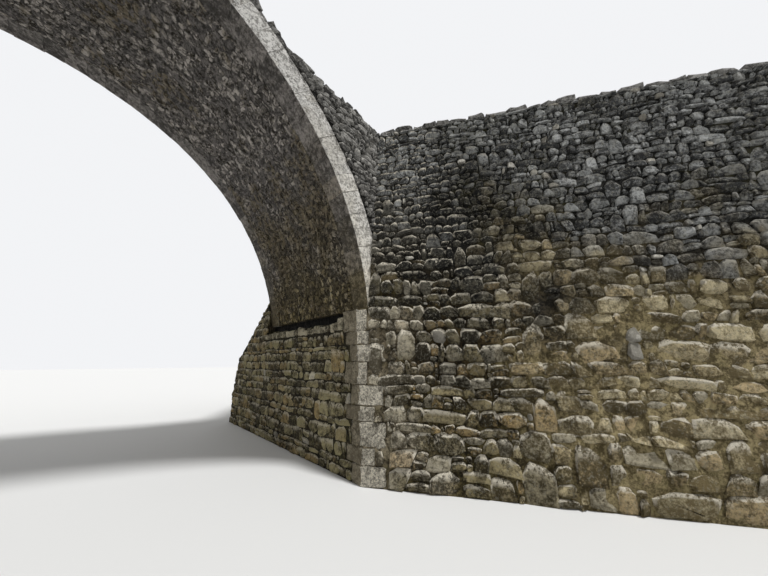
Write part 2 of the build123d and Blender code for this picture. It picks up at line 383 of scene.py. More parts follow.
def rubbleCells(rng, area, wall, keep=None, stops=()):
    look = {**rubble, **wall}
    start, end, bottom, top = area
    levels = [bottom]
    for stop in (*stops, top):  # the courses come level at each stop
        while levels[-1] < stop - 0.02:
            usual, left = sizeAt(look["course"], levels[-1]), stop - levels[-1]
            high = usual * rng.uniform(*look["courseSpread"])
            if left - high < look["leastCourse"] * usual:
                high = left if left < look["lastCourse"] * usual else left * rng.uniform(*look["courseSplit"])
            levels.append(levels[-1] + high)
    cells, taken = [], []
    for row in range(len(levels) - 1):
        t, upper = levels[row], levels[row + 1]
        high, usual = upper - t, sizeAt(look["long"], t)
        s, slant, raised = start - rng.uniform(0, 0.6) * usual, 0.0, []
        while s < end:
            ahead = [b for b in taken if b[1] > s + 1e-6]
            limit = ahead[0][0] if ahead else end + 2 * usual
            if limit - s < look["leastGap"]:  # a big stone stands up through this course
                s, slant = ahead[0][1], 0.0
                continue
            wide = usual * float(np.clip(rng.lognormal(*look["longSpread"]), *look["longLimits"]))
            if rng.random() < look["big"] and row + 2 < len(levels) and s + look["bigLong"][1] * usual < limit:
                wide = rng.uniform(*look["bigLong"]) * usual
                cells.append(squareCell(s, s + wide, t, levels[row + 2]))
                raised.append((s, s + wide))
                s, slant = s + wide, 0.0
                continue
            if limit - s - wide < look["leastLong"] * usual:
                wide = limit - s
            nextSlant = 0.0 if s + wide == limit else rng.normal(0, look["slant"]) * high
            cell = [(s - slant, t), (s + wide - nextSlant, t), (s + wide + nextSlant, upper), (s + slant, upper)]
            halved = rng.random() < look["split"]
            if halved and high > look["stackHigh"] and wide < look["stackLong"] * high:
                cells += halve(rng, cell, True, look["stackDrift"])
            elif halved and wide > look["sideLong"] * high:
                cells += halve(rng, cell, False, look["sideDrift"])
            else:
                cells.append(cell)
            s, slant = s + wide, nextSlant
            if rng.random() < look["pins"] and s + 0.5 * high < limit:
                pin = rng.uniform(*look["pinWide"]) * high
                mid = t + rng.uniform(*look["pinHigh"]) * high
                cells += [squareCell(s, s + pin, t, mid), squareCell(s, s + pin, mid, upper)]
                s, slant = s + pin, 0.0
        taken = raised
    cells = np.array(cells)
    a, b = cells[..., 0], cells[..., 1]
    fade = np.clip(np.minimum(b - bottom, top - b) / look["straightEdge"], 0, 1)
    up = look["wave"] * 1.6 * ripple(a, b, rng, (2.4, 1.1)) + look["ragged"] * 1.6 * ripple(a, b, rng, (0.52, 0.33))
    side = look["wave"] * ripple(a, b, rng, (1.3, 0.8)) + look["ragged"] * 1.6 * ripple(a, b, rng, (0.45, 0.3))
    cells = np.stack([a + side, b + fade * up], -1)
    middle, share = cells.mean(1), 0.2 * np.ptp(cells[..., 0], axis=1)
    inside = (middle[:, 0] + share > start) & (middle[:, 0] - share < end)
    if keep is not None:
        inside &= keep(middle[:, 0], middle[:, 1])
    return cells[inside]


# a plain wall of split stones, the outer ones trimmed to its two ends
def plainWall(rng, area, place, look, seed):
    cells = rubbleCells(rng, area, look)
    cells[..., 0] = np.clip(cells[..., 0], *area[:2])
    return layStones("split", cells, place, look, seed)


# leaves out the cells that end before the wall starts, and says where it starts at each of the others
def pastStart(cells, begin, least):
    lowest, highest = np.quantile(cells[..., 1], (0.3, 0.7), axis=1)
    start = np.maximum(begin(lowest), begin(highest))
    reaches = cells[..., 0].max(1) > start + least
    return cells[reaches], start[reaches]


# stones side by side along a row, one at a time, the last of them taking what is left
def rowOf(rng, s, end, row):
    while s < end - row["stop"]:
        wide = rng.uniform(*row["long"])
        if end - s - wide < row["least"]:
            wide = end - s
        yield s, wide
        s += wide - row["overlap"]


def meetCorner(s, start, near):  # the first stones of a course reach the corner stones
    start = start[:, None]
    return np.where(s < start + near, start - 0.006, s)


# turns, shifts and shrinks each cell by its own amount
def jostle(rng, cells, turn, shift, shrink):
    middle = cells.mean(1, keepdims=True)
    angle = rng.normal(0, turn, (len(cells), 1))
    arm = (cells - middle) * rng.uniform(*shrink, (len(cells), 1, 1))
    turned = np.stack([arm[..., 0] * np.cos(angle) - arm[..., 1] * np.sin(angle),
                       arm[..., 0] * np.sin(angle) + arm[..., 1] * np.cos(angle)], -1)
    return middle + turned + rng.normal(0, shift, (len(cells), 1, 2))


# the deck's bed line, by its length from the crown: arc, then ramp, then level
rampAngle = atan(bridge["slope"])
footX, footZ = rampFoot, bedLevel - centre
upX, upZ = -cos(rampAngle), sin(rampAngle)
along = footX * upX + footZ * upZ
travel = -along - sqrt(along**2 - (footX**2 + footZ**2 - bedRadius**2))
haunchX = footX + travel * upX
arcLong = bedRadius * (pi / 2 - acos(haunchX / bedRadius))
rampLong = arcLong + travel
deckLong = rampLong + approachEnd - rampFoot
deckEase = 0.12  # length of the turn from one to the next


def deckLine(s, y, h):
    side = np.sign(s) + (s == 0)
    d = np.abs(s)
    angle = pi / 2 - np.minimum(d, arcLong) / bedRadius
    onRamp = np.clip(d - arcLong, 0, travel)
    onLevel = np.clip(d - rampLong, 0, None)
    blend, blendFoot = (np.clip((d - turn) / deckEase + 0.5, 0, 1) for turn in (arcLong, rampLong))
    tilt = angle * (1 - blend) + (pi / 2 - rampAngle) * blend
    tilt = tilt * (1 - blendFoot) + (pi / 2) * blendFoot
    x = bedRadius * np.cos(angle) + onRamp * cos(rampAngle) + onLevel + h * np.cos(tilt)
    z = centre + bedRadius * np.sin(angle) - onRamp * sin(rampAngle) + h * np.sin(tilt)
    return np.stack([x * side, y, z], -1)


def soffitFace(s, y, h):
    angle = s / radius
    r = radius - h
    return np.stack([r * np.cos(angle), y, centre + r * np.sin(angle)], -1)


# a wing wall's face, rear, end and top; sideX and sideY are 1 or -1, and sideY is 1 on the near side
def wingPlaces(sideX, sideY):
    def placed(s, out, z):
        p = wingRoot + s[..., None] * wingRun + out[..., None] * wingOut
        p[..., 2] = z
        return p * np.array([sideX, sideY, 1.0])

    def front(z):
        return -batter * (z - springing)

    def face(s, z, h):
        return placed(s, front(z) + h, z)

    def rear(s, z, h):
        return placed(s, -wingBack - h, z)

    def end(s, z, h):  # s runs from the back to the front
        return placed(bridge["wingLong"] + h, -wingBack + (wingBack + front(z)) * s / wingBack, z)

    def top(s, t, h):
        return placed(s, -t, wingTop + h)
    return face, rear, end, top


# an upright face along the bridge, and one across it, out being 1 or -1
def sideFace(sideX, sideY):
    return lambda s, z, h: np.stack([s * sideX, -sideY * (halfWidth + h), z], -1)


def crossFace(sideX, x, out):
    return lambda s, z, h: np.stack([sideX * (x + out * h), s, z], -1)


def addNode(tree, kind, inputs=None, **settings):
    node = tree.nodes.new(kind)
    for key, value in settings.items():
        setattr(node, key, value)
    for key, value in (inputs or {}).items():
        if isinstance(value, bpy.types.NodeSocket):
            tree.links.new(value, node.inputs[key])
        else:
            node.inputs[key].default_value = (*value, 1) if isinstance(value, tuple) else value
    return node


def sums(tree, kind, first, second):
    return addNode(tree, "ShaderNodeMath", {0: first, 1: second}, operation=kind).outputs[0]


# weathered stone: each stone its own tone, then mottling, staining, moss, lichen and pitting, and a painted highlight
# along the stones' upper edges
stoneLook = {
    "roughness": 0.92, "specular": 0.2, "tone": 0.3, "blotch": 0.33, "grain": 0.37, "broadScale": 0.8,
    "blotchScale": 11, "grainScale": 32, "fineScale": 210, "from": 0.24, "to": 0.8, "upperFrom": 1.6, "upperTo": 4.2,
    "scatter": 0.7, "wanderAlong": 0.8, "wanderUp": 1.4, "warmShare": 0.3, "paleShare": 0.06,
    "paleDark": (0.4, 0.375, 0.32), "stainShare": 0.5, "mossShare": 0.4, "lichenShare": 0.4, "lichenScale": 28,
    "rimShare": 0.8, "rimFrom": 0.33, "rimTo": 0.54, "pitShare": 0.5, "pitScale": 45, "bump": 1.0, "bumpDepth": 0.03,
    "blotchDeep": 0.4, "grainDeep": 0.5, "fineDeep": 0.1, "pitDeep": 0.5,
}
# where the walls change colour: metres up, or along from the middle of the bridge, then how little and how much
zones = {
    "middle": (0.2, 1.2), "outer": (6.35, 7.1), "outerEnd": (8.8, 7.8, 0.25), "corner": (6.0, 5.4),
    "cornerTop": (3.0, 2.0, 0.15, 0.9), "crest": (6.6, 7.4, 0, 1.4), "rim": (5.9, 6.9, 0, 0.85),
}

# where each finish begins and is complete, on the noise or tint that drives it
bands = {
    "speckle": (0.3, 0.7), "warm": (0.5, 0.95), "warmer": (0.6, 0.85), "greyer": (0.32, 0.12), "stain": (0.5, 0.8),
    "mossBroad": (0.45, 0.8), "mossBlotch": (0.35, 0.75), "lichen": (0.66, 0.84), "rim": (0.55, 1.2),
    "pits": (0.2, 0.42),
}


def stoneMaterial(name, changes):
    look = {**stoneLook, **changes}
    material = bpy.data.materials.new(name)
    material.use_nodes = True
    tree = material.node_tree
    shader = tree.nodes["Principled BSDF"]
    shader.inputs["Roughness"].default_value = look["roughness"]
    shader.inputs["Specular IOR Level"].default_value = look["specular"]

    plus, minus, times = (partial(sums, tree, kind) for kind in ("ADD", "SUBTRACT", "MULTIPLY"))

    def fade(value, low, high, toLow=0.0, toHigh=1.0):
        sockets = {0: value, 1: low, 2: high, 3: toLow, 4: toHigh}
        return addNode(tree, "ShaderNodeMapRange", sockets, interpolation_type="SMOOTHSTEP").outputs[0]

    def speckle(scale, detail, rough):
        sockets = {"Vector": where, "Scale": scale, "Detail": detail, "Roughness": rough}
        return fade(addNode(tree, "ShaderNodeTexNoise", sockets).outputs["Fac"], *bands["speckle"])

    def mix(factor, first, second):
        return addNode(tree, "ShaderNodeMix", {0: factor, 6: first, 7: second}, data_type="RGBA").outputs[2]

    def toned(dark, light):
        return mix(level, dark, light)

    where = addNode(tree, "ShaderNodeTexCoord").outputs["Object"]
    xyz = addNode(tree, "ShaderNodeSeparateXYZ", {0: where}).outputs
    tint = addNode(tree, "ShaderNodeAttribute", attribute_name="stoneTint").outputs
    tone, hue, growth = addNode(tree, "ShaderNodeSeparateColor", {0: tint["Color"]}).outputs
    broad = speckle(look["broadScale"], 4, 0.6)
    blotch = speckle(look["blotchScale"], 5, 0.65)
    grain = speckle(look["grainScale"], 6, 0.78)
    fine = speckle(look["fineScale"], 2, 0.6)
    shade = plus(plus(times(tone, look["tone"]), times(blotch, look["blotch"])), times(grain, look["grain"]))
    level = fade(shade, look["from"], look["to"])
    colour = toned(look["dark"], look["light"])
    if "warm" in look:
        colour = mix(fade(hue, *bands["warm"], 0, look["warmShare"]), colour, toned(look["dark"], look["warm"]))
    reach = plus(sums(tree, "ABSOLUTE", xyz[0], 0.0), times(broad, look["wanderAlong"]))
    edge = plus(minus(xyz[2], times(broad, look["wanderUp"])), times(growth, look["scatter"]))
    climb = 0.0
    if "middle" in look:
        colour = mix(fade(edge, *zones["middle"]), colour, toned(*look["middle"]))
    if "upper" in look:
        climb = fade(edge, look["upperFrom"], look["upperTo"])
        colour = mix(climb, colour, toned(*look["upper"]))
    lowDown = minus(1.0, climb)
    if "outer" in look:  # paler low down, further out along the wing walls: partly mortar-washed stone, partly a painted patch of sunlight
        washAndPaintedSun = times(times(fade(reach, *zones["outer"]), fade(reach, *zones["outerEnd"])), lowDown)
        colour = mix(washAndPaintedSun, colour, toned(*look["outer"]))
    if "corner" in look:  # paler stones beside the river corner
        near = times(fade(reach, *zones["corner"]), fade(xyz[2], *zones["cornerTop"]))
        colour = mix(near, colour, toned(*look["corner"]))
    if "crest" in look:  # paler again along the top of a wall, and further out
        rise = plus(edge, fade(reach, *zones["crest"]))
        colour = mix(fade(rise, look["crestFrom"], look["crestTo"]), colour, toned(*look["crest"]))
    if "warmer" in look:  # low down, some stones are warmer and some greyer than their neighbours
        for cast in ("warmer", "greyer"):
            share = times(fade(hue, *bands[cast], 0, look["hueShare"]), lowDown)
            colour = mix(share, colour, toned(look["dark"], look[cast]))
    if "pale" in look:
        few = fade(growth, 1 - look["paleShare"], 1.005 - look["paleShare"])
        colour = mix(few, colour, toned(look["paleDark"], look["pale"]))
    if "stain" in look:
        colour = mix(fade(broad, *bands["stain"], 0, look["stainShare"]), colour, look["stain"])
    if "moss" in look:
        green = times(fade(broad, *bands["mossBroad"]), fade(blotch, *bands["mossBlotch"]))
        colour = mix(times(green, fade(hue, 0, 1, look["mossShare"], 0.2)), colour, look["moss"])
    if "lichen" in look:
        spots = fade(speckle(look["lichenScale"], 6, 0.75), *bands["lichen"], 0, look["lichenShare"])
        colour = mix(spots, colour, look["lichen"])
    if "rim" in look:  # a painted highlight along the upper edges, as if light from above caught them, less so high up and away from the river
        paintedHighlight = times(fade(tint["Alpha"], look["rimFrom"], look["rimTo"]),
                     fade(plus(grain, blotch), *bands["rim"], 0.05, look["rimShare"]))
        paintedHighlight = times(paintedHighlight, minus(1.0, times(climb, fade(reach, *zones["rim"]))))
        colour = mix(paintedHighlight, colour, look["rim"])
    relief = plus(times(blotch, look["blotchDeep"]), times(grain, look["grainDeep"]))
    relief = plus(relief, times(fine, look["fineDeep"]))
    if "pits" in look:
        hollow = fade(speckle(look["pitScale"], 4, 0.7), *bands["pits"], look["pitShare"], 0)
        colour = mix(hollow, colour, look["pits"])
        relief = minus(relief, times(hollow, look["pitDeep"]))
    bump = addNode(tree, "ShaderNodeBump", {"Strength": look["bump"], "Distance": look["bumpDepth"], "Height": relief})
    tree.links.new(colour, shader.inputs["Base Color"])
    tree.links.new(bump.outputs[0], shader.inputs["Normal"])
    return material


mortarMix = {"tone": 0.0, "blotch": 0.5, "grain": 0.5}
# on the wing walls the rim colour is a painted highlight along the stones' upper edges
# the wing walls' upper colours darken them high up: partly black lichen, partly painted shade
# their outer colours are partly mortar wash, partly a painted patch of sunlight
wingStone = stoneMaterial("wingStone", {
    "dark": (0.032, 0.024, 0.009), "light": (0.5, 0.418, 0.228), "warmer": (0.56, 0.35, 0.13),
    "greyer": (0.39, 0.38, 0.35), "hueShare": 0.5, "middle": ((0.014, 0.011, 0.005), (0.295, 0.246, 0.133)),
    "upper": ((0.005, 0.0048, 0.0043), (0.054, 0.053, 0.047)), "upperFrom": 0.9, "upperTo": 3.3,
    "crest": ((0.048, 0.0495, 0.05), (0.6, 0.612, 0.6)), "crestFrom": 3.25, "crestTo": 4.8,
    "outer": ((0.23, 0.178, 0.085), (1.0, 0.865, 0.56)), "corner": ((0.16, 0.135, 0.09), (0.97, 0.88, 0.68)),
    "rim": (0.98, 0.905, 0.745), "rimShare": 1.0, "tone": 0.34, "blotch": 0.3, "grain": 0.36, "from": 0.33,
    "to": 0.83, "pale": (1.0, 0.96, 0.86), "lichen": (0.45, 0.43, 0.34), "moss": (0.1, 0.085, 0.028),
    "mossShare": 0.25, "bumpDepth": 0.045})
# its outer colours are partly mortar wash, partly a painted patch of sunlight
# its upper colours darken the pointing high up: partly black lichen, partly painted shade
wingMortar = stoneMaterial("wingMortar", {
    "dark": (0.022, 0.017, 0.008), "light": (0.16, 0.128, 0.054),
    "middle": ((0.013, 0.0095, 0.004), (0.11, 0.076, 0.03)), "upper": ((0.006, 0.006, 0.0055), (0.036, 0.035, 0.031)),
    "upperFrom": 0.7, "upperTo": 2.9, "outer": ((0.12, 0.093, 0.042), (0.5, 0.41, 0.22)),
    "corner": ((0.08, 0.065, 0.04), (0.42, 0.36, 0.25)), **mortarMix, "moss": (0.09, 0.083, 0.02), "mossShare": 0.3})
# the rim colour is a painted highlight along the stones' upper edges
spandrelStone = stoneMaterial("spandrelStone", {
    "dark": (0.055, 0.053, 0.049), "light": (0.42, 0.407, 0.38), "pale": (0.55, 0.53, 0.49), "paleShare": 0.02,
    "rim": (0.85, 0.82, 0.75), "lichen": (0.55, 0.535, 0.5), "lichenShare": 0.3, "tone": 0.34, "bumpDepth": 0.04})
ringStone = stoneMaterial("ringStone", {
    "dark": (0.6, 0.55, 0.45), "light": (1.0, 0.94, 0.81), "tone": 0.15, "blotch": 0.35, "grain": 0.5,
    "upper": ((0.27, 0.262, 0.245), (0.82, 0.8, 0.76)), "upperFrom": 1.8, "upperTo": 4.6, "blotchScale": 13,
    "grainScale": 42, "from": 0.18, "to": 0.66, "pits": (0.16, 0.148, 0.125), "pitScale": 26,
    "stain": (0.36, 0.33, 0.27), "stainShare": 0.25, "bumpDepth": 0.02})
ringUnder = stoneMaterial("ringUnder", {
    "dark": (0.1, 0.082, 0.046), "light": (0.42, 0.35, 0.21), "tone": 0.34, "blotch": 0.36, "grain": 0.3,
    "upper": ((0.065, 0.06, 0.055), (0.35, 0.322, 0.298)), "pits": (0.03, 0.025, 0.016), "pitScale": 20,
    "pitShare": 0.45, "bumpDepth": 0.02})
soffitStone = stoneMaterial("soffitStone", {
    "dark": (0.03, 0.022, 0.008), "light": (0.42, 0.335, 0.15), "warm": (0.3, 0.21, 0.09),
    "upper": ((0.062, 0.056, 0.05), (0.56, 0.515, 0.47)), "tone": 0.26, "blotch": 0.4, "grain": 0.34, "from": 0.25,
    "to": 0.8, "blotchScale": 9, "stain": (0.17, 0.135, 0.085), "stainShare": 0.7, "pits": (0.014, 0.011, 0.006),
    "pitScale": 10, "pitShare": 0.85, "lichen": (0.5, 0.45, 0.36), "lichenScale": 24, "moss": (0.085, 0.08, 0.02),
    "mossShare": 0.25, "bump": 0.8})
washMortar = stoneMaterial("washMortar", {
    "dark": (0.015, 0.011, 0.005), "light": (0.13, 0.105, 0.054), **mortarMix,
    "upper": ((0.035, 0.032, 0.029), (0.22, 0.202, 0.188))})
# the rim colour is a painted highlight along the stones' upper edges
abutmentStone = stoneMaterial("abutmentStone", {
    "dark": (0.035, 0.027, 0.012), "light": (0.46, 0.4, 0.22), "warm": (0.48, 0.31, 0.115), "warmShare": 0.55,
    "tone": 0.4, "grain": 0.32, "from": 0.3, "to": 0.84, "moss": (0.12, 0.12, 0.025), "lichen": (0.48, 0.45, 0.34),
    "lichenShare": 0.35, "rim": (0.7, 0.64, 0.5), "pale": (0.8, 0.73, 0.55), "paleShare": 0.05})
ledgeStone = stoneMaterial("ledgeStone", {
    "dark": (0.08, 0.068, 0.042), "light": (0.66, 0.595, 0.44), "tone": 0.4, "moss": (0.13, 0.13, 0.035)})
quoinStone = stoneMaterial("quoinStone", {
    "dark": (0.3, 0.27, 0.21), "light": (0.98, 0.91, 0.755), "tone": 0.16, "blotch": 0.4, "grain": 0.44,
    "blotchScale": 17, "grainScale": 46, "from": 0.22, "to": 0.72, "pits": (0.1, 0.09, 0.07), "pitScale": 40,
    "pitShare": 0.6, "bumpDepth": 0.04})
quoinShade = stoneMaterial("quoinShade", {
    "dark": (0.15, 0.127, 0.085), "light": (0.5, 0.442, 0.325), "tone": 0.16, "stain": (0.22, 0.188, 0.128),
    "pits": (0.04, 0.033, 0.02), "pitShare": 0.4, "bump": 0.8})
cappingStone = stoneMaterial("cappingStone", {
    "dark": (0.06, 0.058, 0.055), "light": (0.42, 0.408, 0.385), "pale": (0.6, 0.585, 0.55),
    "lichen": (0.6, 0.585, 0.55), "lichenShare": 0.5})
pavingStone = stoneMaterial("pavingStone", {
    "dark": (0.1, 0.092, 0.078), "light": (0.42, 0.395, 0.345), "moss": (0.12, 0.125, 0.05),
    "stain": (0.17, 0.145, 0.11)})
# near-black: dark mortar in the joints behind the stones, and painted shade on the slot stones above each ledge
darkMortarAndShade = stoneMaterial("darkMortarAndShade", {
    "dark": (0.005, 0.0047, 0.004), "light": (0.034, 0.031, 0.027), **mortarMix})
brownMortar = stoneMaterial("brownMortar", {
    "dark": (0.01, 0.008, 0.004), "light": (0.06, 0.049, 0.027), **mortarMix, "moss": (0.06, 0.062, 0.015)})
jointMortar = stoneMaterial("jointMortar", {
    "dark": (0.17, 0.16, 0.14), "light": (0.66, 0.635, 0.585), **mortarMix, "bump": 0.8})
print("materials made")


# wing walls: small coursed stones with open joints high up, larger ones washed with mortar low down
plainBack = {"joint": 0.016, "embed": 0.03, "proud": 0.03, "uneven": 0.6, "lean": 0.3}
courseLevels = (0, 2.4, 3.4, 5.4)
wingWall = {
    "courses": {"course": (courseLevels, (0.21, 0.18, 0.12, 0.1)), "long": (courseLevels, (0.28, 0.24, 0.16, 0.15)),
                "ragged": 0.012, "big": 0.04},
    "start": -0.3,
    "openAbove": (3.2, 0.4),
    "beddedShare": 0.5,
    "jostle": (0.05, 0.005, (0.96, 1.07)),
    "leastReach": 0.06,
    "cornerGap": 0.058,
    "bedded": {"joint": 0.012, "embed": 0.03, "proud": 0.045, "uneven": 0.6, "lean": 0.6, "wobble": 0.045,
               "turned": False},
    "round": {"joint": 0.008, "embed": 0.04, "proud": 0.055, "uneven": 0.6, "lean": 0.5, "wobble": 0.045},
    "rear": {**plainBack, "course": 0.21, "long": 0.38},
    "rearStart": 0.66,
    "end": {**plainBack, "course": 0.18, "long": 0.3},
    "mortar": {"step": 0.075, "rise": 0.016, "swell": 0.013, "sink": 0.032},
    "washTop": 3.1,
    "washEase": 0.9,
    "washStart": 1.4,
    "cap": {"joint": 0.01, "lean": 0.1, "wobble": 0.03},
    "capRow": {"long": (0.15, 0.38), "least": 0.12, "overlap": 0.01, "stop": 0.05},
    "capBack": 0.02,
    "capSway": ((0.09, 2.3), (0.05, 5.1)),
    "capRise": (0.66, 1.0),
    "capLip": (-0.022, 0.03),
    "capLap": 0.012,
    "capSunk": 0.006,
    "capStarts": (0.12, 0.6),
    "rootSlant": (0.32, 0.1),
    "capBed": {"step": 0.11, "rise": 0.045, "swell": 0.008},
}


toeGap = 0.03


def toeTop(reach):
    xs, zs = zip(*toeProfile)
    return np.where(reach > xs[-1], -1.0, np.interp(reach, xs, zs))


# where a near wing wall's rubble starts: past its quoins, and above them at the side wall
def wingStart(z, quoined):
    lean = batter * (z - springing)
    corner = (riverFace - halfSpan + wingOut[0] * lean) / wingRun[0]
    below = corner + (quoinLeg("quoinWingLegs", z) if quoined else 0.0)
    above = -wingOut[1] * lean / -wingRun[1]
    return np.where(z < springing, below, above)


for sideX, across in acrossSides:
    for sideY, depth in depthSides:
        name = f"{across}_{depth}_wing"
        number = 100 + 10 * sideX + sideY
        rng = default_rng(number)
        quoined = sideY == 1
        long = bridge["wingLong"]
        face, rear, end, capTop = wingPlaces(sideX, sideY)

        def begin(z):
            return wingStart(z, quoined)

        def clearOfToe(s, z):
            reach = s * -wingRun[1] + wingOut[1] * batter * (z - springing)
            return quoined | (z >= toeTop(reach) - toeGap)

        def washed(s, z):
            fromTop = (wingWall["washTop"] - z) / wingWall["washEase"]
            return np.clip(fromTop, 0, 1) * np.clip(s - wingWall["washStart"], 0, 1)

        cells = rubbleCells(rng, (wingWall["start"], long, 0.0, wingTop), wingWall["courses"], clearOfToe,
                            quoinLevels[1:] if quoined else ())
        cells, start = pastStart(cells, begin, wingWall["leastReach"])
        high = cells.mean(1)[:, 1] > wingWall["openAbove"][0] + rng.normal(0, wingWall["openAbove"][1], len(cells))
        cells[~high] = jostle(rng, cells[~high], *wingWall["jostle"])
        bedded = high | (rng.random(len(cells)) < wingWall["beddedShare"])
        s = meetCorner(cells[..., 0], start, wingWall["cornerGap"])
        cells = np.stack([np.minimum(s, long), np.maximum(cells[..., 1], 0)], -1)
        buildWall(f"{name}_rubble", [
            layStones("bedded", cells[bedded], face, wingWall["bedded"], number + 1),
            layStones("round", cells[~bedded], face, wingWall["round"], number + 2),
            plainWall(rng, (wingWall["rearStart"], long, 0.0, wingTop), rear, wingWall["rear"], number + 3),
            plainWall(rng, (0.0, wingBack, 0.0, wingTop), end, wingWall["end"], number + 4),
        ], wingStone)
        area = (float(wingStart(np.array(springing - 0.1), False)), long, 0.0, wingTop)
        pointing = spreadMortar(face, area, wingWall["mortar"], number + 5, washed, begin)
        buildWall(f"{name}_pointing", [pointing], wingMortar)

        # capping: two rows of flat stones along the top, the back row's first one slanted to the side wall
        capCells, heights = [], []
        front = batter * (wingTop - springing)
        back = wingBack + wingWall["capBack"]
        (big, slow), (small, quick) = wingWall["capSway"]
        for row, slant in ((0, (0.0, 0.0)), (1, wingWall["rootSlant"])):
            for s, wide in rowOf(rng, wingWall["capStarts"][row], long, wingWall["capRow"]):
                ends = np.array([s, s + wide])
                meet = (front + back) / 2 + big * np.sin(ends * slow + number) + small * np.sin(ends * quick)
                lip, lap = front + rng.uniform(*wingWall["capLip"], 2), wingWall["capLap"]
                a, b = (lip, meet + lap) if row == 0 else (meet - lap, np.full(2, back))
                capCells.append([(s - slant[0], a[0]), (s + wide, a[1]), (s + wide, b[1]), (s - slant[1], b[0])])
                slant = (0.0, 0.0)
                heights.append(bridge["capHigh"] * rng.uniform(*wingWall["capRise"]))
        area = (wingWall["capStarts"][1] + 0.02, long - 0.03, front + 0.04, back - 0.02)
        bed = spreadMortar(capTop, area, wingWall["capBed"], number + 7)
        slabs = layStones("rugged", capCells, capTop, wingWall["cap"], number + 6, -wingWall["capSunk"], heights)
        buildWall(f"{name}_capping", [slabs, bed], cappingStone, [f"{name}_cap"])
print("wing walls laid")


# side walls over the haunches, and the sides and ends of the approaches
sideWall = {
    "haunch": {"joint": 0.01, "embed": 0.03, "proud": 0.05, "uneven": 0.7, "lean": 0.5, "wobble": 0.035,
               "turned": False, "course": 0.085, "long": 0.13, "split": 0.1, "pins": 0.05, "wave": 0.008},
    "haunchArea": (3.5, 5.6, springing, 6.25),
    "tiltFrom": 4.6,
    "tiltLevels": (3.4, 5.4),
    "approach": {**plainBack, "joint": 0.014, "course": 0.17, "long": 0.32},
    "end": {**plainBack, "joint": 0.014, "course": 0.18, "long": 0.32},
}


# height of the deck's bed over a place along the bridge
def bedHeight(x):
    onArc = centre + np.sqrt(np.maximum(bedRadius**2 - x**2, 0))
    onSlope = bedLevel + bridge["slope"] * np.maximum(rampFoot - x, 0)
    return np.where(x < haunchX, onArc, onSlope)


# keeps the haunch stones clear of the ring below them and the kerb above them
def trimHaunch(points, sideX):
    x, z = points[:, 0] * sideX, points[:, 2]
    r = np.hypot(x, z - centre)
    push = np.maximum(bedRadius + 0.006 - r, 0)
    x = x + push * x / r
    points[:, 0], points[:, 2] = x * sideX, np.minimum(z + push * (z - centre) / r, bedHeight(x) - 0.002)


meetSlope = -wingOut[0] + wingOut[1] * wingRun[0] / wingRun[1]
rearMeet = meetSlope * wingBack + halfSpan + 0.01


def onHaunch(x, z):
    clear = np.hypot(x, z - centre) > bedRadius + 0.012
    return clear & (z < bedHeight(x) - 0.015) & (x < halfSpan + batter * meetSlope * (z - springing) + 0.1)


for sideX, across in acrossSides:
    for sideY, depth in depthSides:
        number = 300 + 10 * sideX + sideY
        rng = default_rng(number)
        face = sideFace(sideX, sideY)
        cells = rubbleCells(rng, sideWall["haunchArea"], sideWall["haunch"])
        x, z = cells[..., 0], cells[..., 1]
        tilt = bridge["slope"] * np.interp(z, sideWall["tiltLevels"], (0, 1))  # higher courses follow the ramp
        z = z - (x - sideWall["tiltFrom"]) * tilt
        cells = np.stack([x, z], -1)
        cells = cells[onHaunch(*cells.mean(1).T)]
        laid = layStones("bedded", cells, face, sideWall["haunch"], number + 1)
        trimHaunch(laid["points"], sideX)
        side = plainWall(rng, (rearMeet, approachEnd, 0.0, bedLevel), face, sideWall["approach"], number + 2)
        buildWall(f"{across}_{depth}_spandrel_rubble", [laid, side], spandrelStone)
    rng = default_rng(340 + sideX)
    end = plainWall(rng, (-halfWidth, halfWidth, 0.0, bedLevel), crossFace(sideX, approachEnd, 1), sideWall["end"],
                    350 + sideX)
    buildWall(f"{across}_approach_end", [end], spandrelStone)
print("side walls laid")


# underside of the barrel: small stones on edge, half lost in washed mortar
soffit = {
    "stones": {"joint": 0.006, "embed": 0.035, "proud": 0.026, "uneven": 1.0, "lean": 0.6, "wobble": 0.05,
               "course": 0.1, "long": 0.07, "split": 0.08, "pins": 0.03, "wave": 0.02, "ragged": 0.02},
    "jostle": (0.1, 0.005, (0.85, 1.1)),
    "mortar": {"step": 0.06, "rise": 0.008, "swell": 0.009},
}
rng = default_rng(500)
startAngle = asin(bridge["rise"] / radius)
startArc = radius * startAngle
fullArc = radius * pi - startArc
inner = halfWidth - bridge["bond"]
courses = jostle(rng, rubbleCells(rng, (-inner, inner, startArc, fullArc), soffit["stones"]), *soffit["jostle"])
cells = np.stack([np.clip(courses[..., 1], startArc + 0.002, fullArc - 0.002),
                  np.clip(courses[..., 0], -inner, inner)], -1)[:, [0, 3, 2, 1]]
halves = cells.mean(1)[:, 0] < (startArc + fullArc) / 2
for half, across in ((halves, "right"), (~halves, "left")):
    buildWall(f"{across}_soffit_rubble", [
        layStones("split", cells[half], soffitFace, soffit["stones"], 501)], soffitStone)
wash = spreadMortar(soffitFace, (startArc + 0.004, fullArc - 0.004, -inner, inner), soffit["mortar"], 503)
buildWall("soffit_wash", [wash], washMortar)
print("soffit laid")


